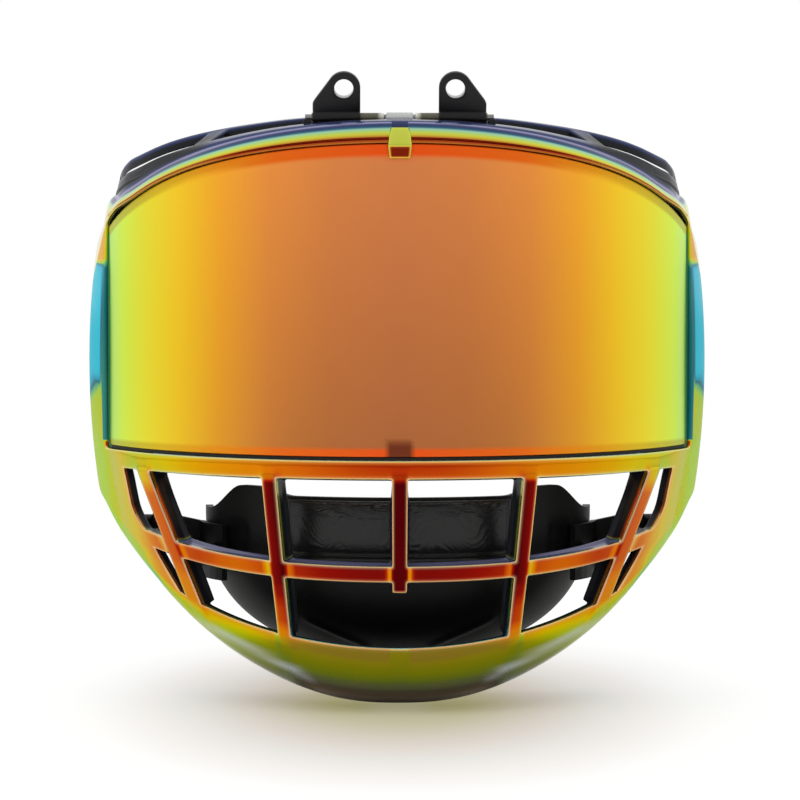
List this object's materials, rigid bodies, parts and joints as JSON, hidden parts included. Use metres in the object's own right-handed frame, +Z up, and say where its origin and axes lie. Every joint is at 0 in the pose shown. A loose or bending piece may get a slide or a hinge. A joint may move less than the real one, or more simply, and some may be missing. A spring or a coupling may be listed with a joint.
{
  "type": "hybrid hockey face guard",
  "caption": "Hybrid hockey face guard: curved mirrored lens over a moulded grille and chin band, folded helmet clips on hinge pins, sliding lens latch and a padded chin cup on slotted arms.",
  "frame": {"origin": "midway between the two helmet screw holes in the clips", "axes": "+X towards the right of the picture, -Y forwards out of the face, +Z up"},
  "size_m": [0.2144, 0.137, 0.2088],
  "materials": {
    "face_frame": "rainbow plated over moulded plastic",
    "lens": "clear polycarbonate with an orange mirror coating",
    "lens_gasket": "matte",
    "lens_latch": "rainbow plated over moulded plastic",
    "left_hinge_pin": "satin",
    "right_hinge_pin": "satin",
    "left_pin_sleeve": "clear",
    "right_pin_sleeve": "clear",
    "left_helmet_clip": "black satin",
    "right_helmet_clip": "black satin",
    "chin_cup": "moulded, fine grain",
    "chin_pad": "black vinyl, fine wrinkles",
    "chin_liner": "closed cell foam",
    "left_cup_arm": "matte",
    "right_cup_arm": "matte",
    "cup_rivets": "black",
    "arm_screws": "zinc plated",
    "arm_washers": "zinc plated"
  },
  "bodies": {
    "guard": {"face_frame": "face_frame", "lens": "lens", "lens_gasket": "lens_gasket", "left_hinge_pin": "left_hinge_pin", "right_hinge_pin": "right_hinge_pin", "arm_screws": "arm_screws", "arm_washers": "arm_washers"},
    "latch": {"lens_latch": "lens_latch"},
    "left_sleeve": {"left_pin_sleeve": "left_pin_sleeve"},
    "right_sleeve": {"right_pin_sleeve": "right_pin_sleeve"},
    "left_clip": {"left_helmet_clip": "left_helmet_clip"},
    "right_clip": {"right_helmet_clip": "right_helmet_clip"},
    "cup": {"chin_cup": "chin_cup", "chin_pad": "chin_pad", "chin_liner": "chin_liner", "left_cup_arm": "left_cup_arm", "right_cup_arm": "right_cup_arm", "cup_rivets": "cup_rivets"}
  },
  "joints": [
    {"name": "lens_latch_slide", "type": "slide", "parent": "guard", "child": "latch", "axis": [0, 0, 1], "range_m": [0, 0.0055]},
    {"name": "left_clip_swing", "type": "hinge", "parent": "guard", "child": "left_sleeve", "pos_m": [-0.018, 0.00345, -0.00949], "axis": [1, 0, 0], "range_deg": [-60, 40]},
    {"name": "left_clip_slide", "type": "slide", "parent": "left_sleeve", "child": "left_clip", "axis": [1, 0, 0], "range_m": [0, 0.007]},
    {"name": "right_clip_swing", "type": "hinge", "parent": "guard", "child": "right_sleeve", "pos_m": [0.018, 0.00345, -0.00949], "axis": [1, 0, 0], "range_deg": [-60, 40]},
    {"name": "right_clip_slide", "type": "slide", "parent": "right_sleeve", "child": "right_clip", "axis": [-1, 0, 0], "range_m": [0, 0.007]},
    {"name": "cup_slide", "type": "slide", "parent": "guard", "child": "cup", "axis": [0, -1, 0], "range_m": [0, 0.005]}
  ]
}
